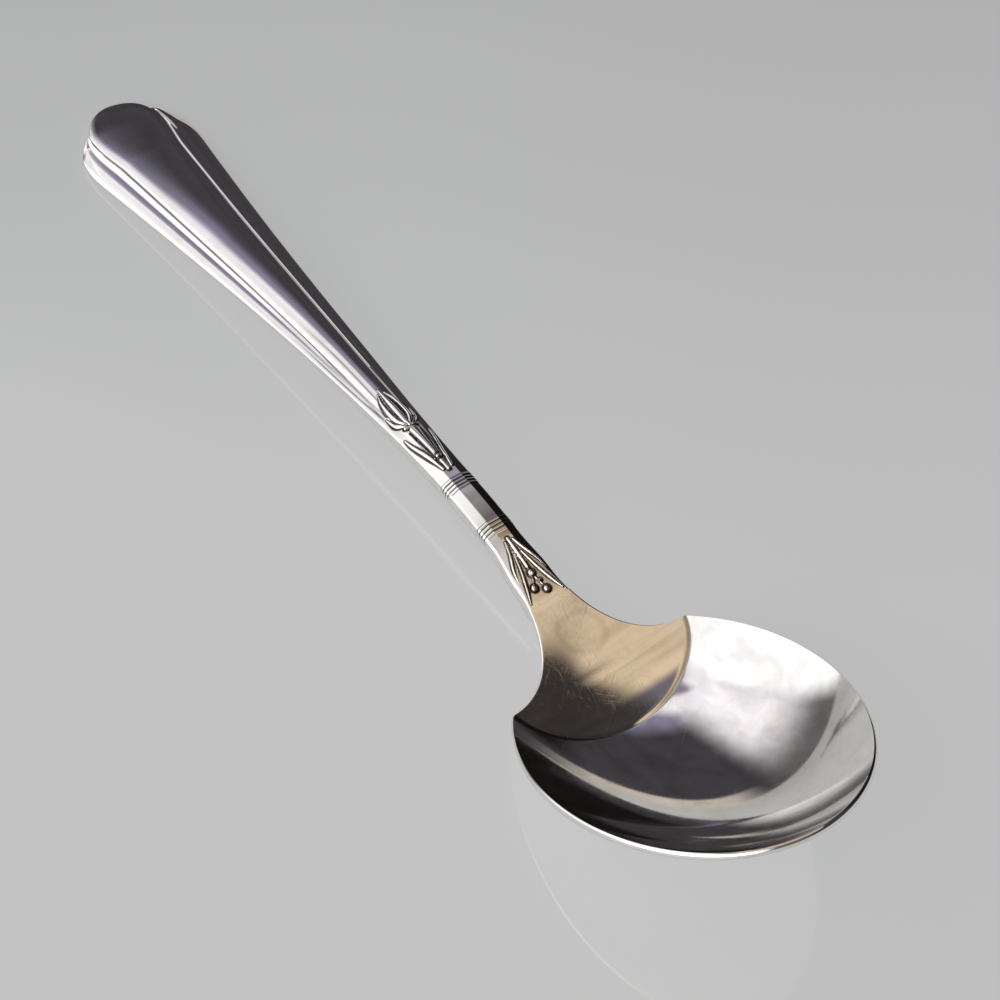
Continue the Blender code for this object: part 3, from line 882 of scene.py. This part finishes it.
def blended(tree, mask, under, over):
    """Colour that goes from one to the other with a mask."""
    mix = place(tree, "ShaderNodeMix", data_type="RGBA")
    feed(tree, mix.inputs[0], mask)
    feed(tree, mix.inputs[6], under)
    feed(tree, mix.inputs[7], over)
    return mix.outputs[2]


def use_group(tree, group, inputs):
    """A shader group placed in a material."""
    node = tree.nodes.new("ShaderNodeGroup")
    node.node_tree = group
    for key, value in inputs.items():
        feed(tree, node.inputs[key], value)
    return node


def silver_plate(name, film, clean, dull, scratch_turns, scratch_depth):
    """Worn silver plate with tarnish and painted shade in and beside its grooves, a handled haze and hairline
    scratches.
    """
    metal = bpy.data.materials.new(name)
    metal.use_nodes = True
    tree = metal.node_tree
    surface = tree.nodes["Principled BSDF"]
    surface.inputs["Metallic"].default_value = 1.0
    spot = tree.nodes.new("ShaderNodeTexCoord").outputs["Object"]
    recess = place(tree, "ShaderNodeAttribute", attribute_name="recess").outputs["Fac"]
    stain = use_group(tree, tarnish, {
        "Vector": spot, "Recess": recess, "Patches per metre": PATCHES, "Film": film,
    })
    filmed = blended(tree, stain.outputs["Film"], SILVER, FILM)
    feed(tree, surface.inputs["Base Color"], blended(tree, stain.outputs["Deep"], filmed, DEEP_TARNISH_AND_SHADE))
    dullness = use_group(tree, haze, {"Vector": spot, "Clean": clean, "Dull": dull})
    heights = 0.0
    for turn, density in scratch_turns:
        lines = use_group(tree, scratches, {
            "Vector": spot, "Turn": turn, "Lines per metre": density, "Share": SCRATCH_SHARE,
        })
        heights = calc(tree, "ADD", lines.outputs[0], heights)
    worn = calc(tree, "MULTIPLY_ADD", heights, SCRATCH_DULLING, dullness.outputs[0])
    roughness = calc(tree, "MULTIPLY_ADD", stain.outputs["Deep"], TARNISH_DULLING, worn)
    feed(tree, surface.inputs["Roughness"], roughness)
    bump = place(tree, "ShaderNodeBump", {
        "Height": heights, "Distance": scratch_depth, "Strength": 1.0,
    }, invert=True)
    feed(tree, surface.inputs["Normal"], bump.outputs[0])
    return metal


handle_metal = silver_plate(
    "struck_silver", film=0.18, clean=0.035, dull=0.09,
    scratch_turns=((0.2, 13000.0), (1.3, 10400.0)), scratch_depth=0.0007 * MM,
)
bowl_metal = silver_plate(
    "beaten_silver", film=0.20, clean=0.03, dull=0.085,
    scratch_turns=((0.15, 14000.0), (0.9, 10400.0), (2.2, 12200.0)), scratch_depth=0.0006 * MM,
)
bowl.data.materials.append(bowl_metal)
print("metals", handle_metal.name, bowl_metal.name)

# %% [markdown]
# A faint brown ring, a little wider than the tongue, is laid on the plate behind the bowl. It is on the
# bowl only, so it is added to that metal alone, over the colour that the metal already has.

# %% Faint brown ring on the plate
MARK_MIDDLE = Vector((112.2 * MM + END_X, 0.9 * MM, 0.0))
MARK_RADIUS = 2.7 * MM
MARK_WIDTH = 0.7 * MM
MARK_SWAY = 1.6 * MM
MARK_STRENGTH = 0.4
MARK_BROWN = (0.30, 0.22, 0.14, 1.0)
bowl_tree = bowl_metal.node_tree
on_bowl = bowl_tree.nodes.new("ShaderNodeTexCoord").outputs["Object"]
from_above = place(bowl_tree, "ShaderNodeVectorMath", {0: on_bowl, 1: (1.0, 1.0, 0.0)}, operation="MULTIPLY")
from_middle = place(bowl_tree, "ShaderNodeVectorMath", {
    0: from_above.outputs[0], 1: MARK_MIDDLE,
}, operation="DISTANCE").outputs["Value"]
unsteady = place(bowl_tree, "ShaderNodeTexNoise", {
    "Vector": on_bowl, "Scale": PATCHES, "Detail": 4.0,
}).outputs["Fac"]
ring_radius = calc(bowl_tree, "MULTIPLY_ADD", unsteady, MARK_SWAY, MARK_RADIUS - MARK_SWAY / 2)
off_ring = calc(bowl_tree, "ABSOLUTE", calc(bowl_tree, "SUBTRACT", from_middle, ring_radius))
on_ring = calc(bowl_tree, "SUBTRACT", 1.0, calc(bowl_tree, "DIVIDE", off_ring, MARK_WIDTH))
faintness = calc(bowl_tree, "MULTIPLY", unsteady, MARK_STRENGTH)
mark = calc(bowl_tree, "MULTIPLY", calc(bowl_tree, "MAXIMUM", on_ring, 0.0), faintness)
bowl_surface = bowl_tree.nodes["Principled BSDF"]
plain_tone = bowl_surface.inputs["Base Color"].links[0].from_socket
feed(bowl_tree, bowl_surface.inputs["Base Color"], blended(bowl_tree, mark, plain_tone, MARK_BROWN))
print("mark of the solder, radius", round(MARK_RADIUS / MM, 1), "mm")

# %% [markdown]
# A die strikes all of the ornament at one blow. Here the trees run one after another on the plain skin,
# the reeds first, and are then made real. Only edges sharper than a wide angle are left unsmoothed.

# %% Strike the handle
REED_BAND = 2.1 * MM
REEDS_PER_BAND = 4
REED_RISE = 0.035 * MM
SHARP_ANGLE = math.radians(62)
for start in (BARREL_X - REED_BAND, LOWER_BAND_X):
    use_tree(handle, reeds, {
        "Start": start + END_X, "Length": REED_BAND, "Reeds": REEDS_PER_BAND, "Rise": REED_RISE,
        "Metal": handle_metal,
    })
# The last number of each row sets how far tarnish and painted shade spread beside the lines and the berries.
for tree, guide, tarnish_and_shade_width in ((line_tree, leaf_guide, 1.4), (bead_tree, berry_guide, 0.8)):
    use_tree(handle, tree, {"Guide": guide, "Groove": tarnish_and_shade_width, "Metal": handle_metal})
made_real(handle)
for guide in (leaf_guide, berry_guide):
    bpy.data.objects.remove(guide, do_unlink=True)
for piece in (handle, bowl):
    piece.data.shade_smooth()
    piece.data.set_sharp_from_angle(angle=SHARP_ANGLE)
print("struck handle:", len(handle.data.polygons), "faces, materials", [m.name for m in handle.data.materials])

# %% [markdown]
# Polished metal is seen by what it mirrors, so the room is part of the look: a wide soft window to one
# side, a dark room to the other and a warm ceiling overhead. A picture of a room would do, but a few
# painted stretches of sky are enough. Each is given by its compass angle, counted from the handle's
# end towards +Y, and by its height over the table, and fades out over some degrees on each side.

# %% Room light
world = bpy.data.worlds.new("studio")
bpy.context.scene.world = world
world.use_nodes = True
room = world.node_tree
looking = place(room, "ShaderNodeSeparateXYZ", {0: room.nodes.new("ShaderNodeTexCoord").outputs["Generated"]})
towards_end = calc(room, "MULTIPLY", looking.outputs["X"], -1.0)
compass = calc(room, "DEGREES", calc(room, "ARCTAN2", looking.outputs["Y"], towards_end))
height = calc(room, "DEGREES", calc(room, "ARCSINE", looking.outputs["Z"]))


def fade_in(value, start, end):
    """0 before the start, 1 after the end."""
    node = place(room, "ShaderNodeMapRange", {
        "Value": value, "From Min": start, "From Max": end,
    }, interpolation_type="SMOOTHSTEP")
    return node.outputs["Result"]


def stretch(value, fades):
    """1 between the inner two of four angles, 0 outside the outer two."""
    return calc(room, "SUBTRACT", fade_in(value, *fades[:2]), fade_in(value, *fades[2:]))


CURTAIN_BEND, CURTAIN_LEAN = 43.0, 3.0
over_bend = calc(room, "MAXIMUM", calc(room, "SUBTRACT", height, CURTAIN_BEND), 0.0)
leaning = calc(room, "SUBTRACT", compass, calc(room, "MULTIPLY", over_bend, CURTAIN_LEAN))
SKY = (
    ("dark side", (0.050, 0.047, 0.055, 1), compass, (-6, 12, 165, 179), (-95, -91, 95, 96)),
    ("darkest corner", (0.008, 0.007, 0.007, 1), compass, (50, 60, 100, 125), (4, 12, 46, 56)),
    ("dark upper corner", (0.036, 0.031, 0.029, 1), compass, (45, 58, 140, 165), (54, 60, 80, 90)),
    ("sill", (0.13, 0.12, 0.125, 1), compass, (-34, -22, 2, 14), (-20, -10, 10, 22)),
    ("haze by the window", (0.255, 0.243, 0.34, 1), compass, (-20, -10, 30, 46), (34.5, 43.5, 52, 58)),
    ("open window", (2.6, 2.6, 2.63, 1), compass, (-155, -135, -72, -58), (-20, -10, 60, 70)),
    ("window", (1.22, 1.22, 1.24, 1), compass, (-72, -58, -27, -19), (-20, -10, 60, 70)),
    ("window's upper edge", (0.95, 0.92, 0.95, 1), compass, (-34, -28, -18, -10), (40, 45, 49, 55)),
    ("curtain", (1.0, 0.97, 1.02, 1), leaning, (-28, -20, -7, 13), (3, 24, 49, 56)),
    ("upper wall", (0.36, 0.335, 0.325, 1), compass, (-190, -185, 36, 52), (46, 62, 95, 96)),
    ("pale far edge", (0.56, 0.50, 0.44, 1), compass, (12, 24, 44, 62), (-20, -10, 4.8, 6.2)),
)
room_colour = (0.14, 0.12, 0.105, 1)
for _, colour, turn, turn_fades, height_fades in SKY:
    mask = calc(room, "MULTIPLY", stretch(turn, turn_fades), stretch(height, height_fades))
    room_colour = blended(room, mask, room_colour, colour)
print("stretches of sky:", [name for name, *_ in SKY])

# %% [markdown]
# The warm ceiling is mirrored in the plate behind the bowl. It ends along a slanting line on the dark
# side, and its far part over the bowl is grey. No real room is evenly bright, so a soft noise makes
# every stretch a little uneven.

# %% Ceiling
CEILING = (0.70, 0.55, 0.38, 1)
FAR_CEILING = (0.17, 0.155, 0.18, 1)
CEILING_SLANT = 0.06
CEILING_END = (0.345, 0.372)
CEILING_RIM = (62.5, 67)
BOWL_SIDE_GAIN = 35.0
FAR_PART = (0.22, 0.31)
DIMMEST, BRIGHTEST = 0.86, 1.14
slanting = calc(room, "MULTIPLY_ADD", looking.outputs["X"], CEILING_SLANT, looking.outputs["Y"])
ceiling_end = calc(room, "SUBTRACT", 1.0, fade_in(slanting, *CEILING_END))
towards_bowl = calc(room, "MULTIPLY", calc(room, "MAXIMUM", looking.outputs["X"], 0.0), BOWL_SIDE_GAIN)
overhead = fade_in(calc(room, "ADD", height, towards_bowl), *CEILING_RIM)
ceiling = blended(room, fade_in(looking.outputs["X"], *FAR_PART), CEILING, FAR_CEILING)
room_colour = blended(room, calc(room, "MULTIPLY", overhead, ceiling_end), room_colour, ceiling)
clutter = place(room, "ShaderNodeTexNoise", {
    "Vector": room.nodes.new("ShaderNodeTexCoord").outputs["Generated"],
    "Scale": 7.0, "Detail": 5.0, "Distortion": 0.6,
})
uneven_light = place(room, "ShaderNodeMapRange", {
    "Value": clutter.outputs["Fac"], "From Min": 0.35, "From Max": 0.65, "To Min": DIMMEST, "To Max": BRIGHTEST,
})
uneven_room = place(room, "ShaderNodeVectorMath", {
    0: room_colour, "Scale": uneven_light.outputs["Result"],
}, operation="SCALE")
feed(room, room.nodes["Background"].inputs["Color"], uneven_room.outputs[0])
print("ceiling of colour", CEILING[:3])

# %% [markdown]
# The spoon lies on a pale glass table. Most of its paleness is given straight to what is seen and
# mirrored, so that the one-sided light leaves only a faint shadow, and the rest answers to the light.
# The part that is given straight falls off slowly towards the handle's end, as a painted fall-off of light. The
# surface is smooth, so the bright side of the handle shows again in it, faintly, and the gloss is weaker at low
# angles, where it would drown the table.

# %% Table
REACH = 2.0
OWN_LIGHT = 0.82
TABLE_GREY = (0.585, 0.593, 0.590, 1)
TABLE_DROP = 0.02 * MM
GLOSS_FADE = (0.3, 0.65)
LOW_GLOSS = 0.2
FALL_DIRECTION = (-0.82, 0.57, 0.0)
FALL_START, FALL_END = -0.02, 0.09
FALL_TO = 0.82
floor_mesh = bpy.data.meshes.new("table")
table_corners = [(-REACH, -REACH, 0), (REACH, -REACH, 0), (REACH, REACH, 0), (-REACH, REACH, 0)]
floor_mesh.from_pydata(table_corners, [], [(0, 1, 2, 3)])
table = bpy.data.objects.new("table", floor_mesh)
table.location.z = -TABLE_DROP
bpy.context.collection.objects.link(table)
pale_glass = bpy.data.materials.new("pale_glass")
pale_glass.use_nodes = True
glass_tree = pale_glass.node_tree
glass = glass_tree.nodes["Principled BSDF"]
glass.inputs["Base Color"].default_value = [c * (1 - OWN_LIGHT) for c in TABLE_GREY[:3]] + [1]
glass.inputs["Specular IOR Level"].default_value = 0.0
glass.inputs["Coat Roughness"].default_value = 0.05
glass.inputs["Coat IOR"].default_value = 1.6
glass.inputs["Emission Color"].default_value = TABLE_GREY
grazing = place(glass_tree, "ShaderNodeLayerWeight", {"Blend": 0.5}).outputs["Facing"]
gloss = place(glass_tree, "ShaderNodeMapRange", {
    "Value": grazing, "From Min": GLOSS_FADE[0], "From Max": GLOSS_FADE[1], "To Min": 1.0, "To Max": LOW_GLOSS,
}).outputs["Result"]
feed(glass_tree, glass.inputs["Coat Weight"], gloss)
along_table = place(glass_tree, "ShaderNodeVectorMath", {
    0: glass_tree.nodes.new("ShaderNodeTexCoord").outputs["Object"], 1: FALL_DIRECTION,
}, operation="DOT_PRODUCT").outputs["Value"]
# Painted fall-off of light: the table's own paleness grows a little darker towards the handle's end.
painted_light_falloff = place(glass_tree, "ShaderNodeMapRange", {
    "Value": along_table, "From Min": FALL_START, "From Max": FALL_END,
    "To Min": OWN_LIGHT, "To Max": FALL_TO * OWN_LIGHT,
}).outputs["Result"]
ray = glass_tree.nodes.new("ShaderNodeLightPath").outputs
seen_or_mirrored = calc(glass_tree, "MAXIMUM", ray["Is Camera Ray"], ray["Is Glossy Ray"])
seen_or_mirrored = calc(glass_tree, "MAXIMUM", seen_or_mirrored, ray["Is Transmission Ray"])
own_light = calc(glass_tree, "MULTIPLY", seen_or_mirrored, painted_light_falloff)
feed(glass_tree, glass.inputs["Emission Strength"], own_light)
floor_mesh.materials.append(pale_glass)
table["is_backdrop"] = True
print("table laid")

# %% [markdown]
# Last, each piece is tied to the body that carries it and the solid it takes the place of is hidden,
# and the boxes of the solids and of the dressed spoon are printed.

# %% Tie the pieces to the body
for piece, node, slot in ((handle, "handle", "handle_silver"), (bowl, "bowl", "bowl_silver")):
    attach(piece, "root")
    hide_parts(node)
low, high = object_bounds()
cad_size, dressed_size = [[round(v / MM, 2) for v in span] for span in (cad_high - cad_low, high - low)]
print("solids", cad_size, "dressed", dressed_size)
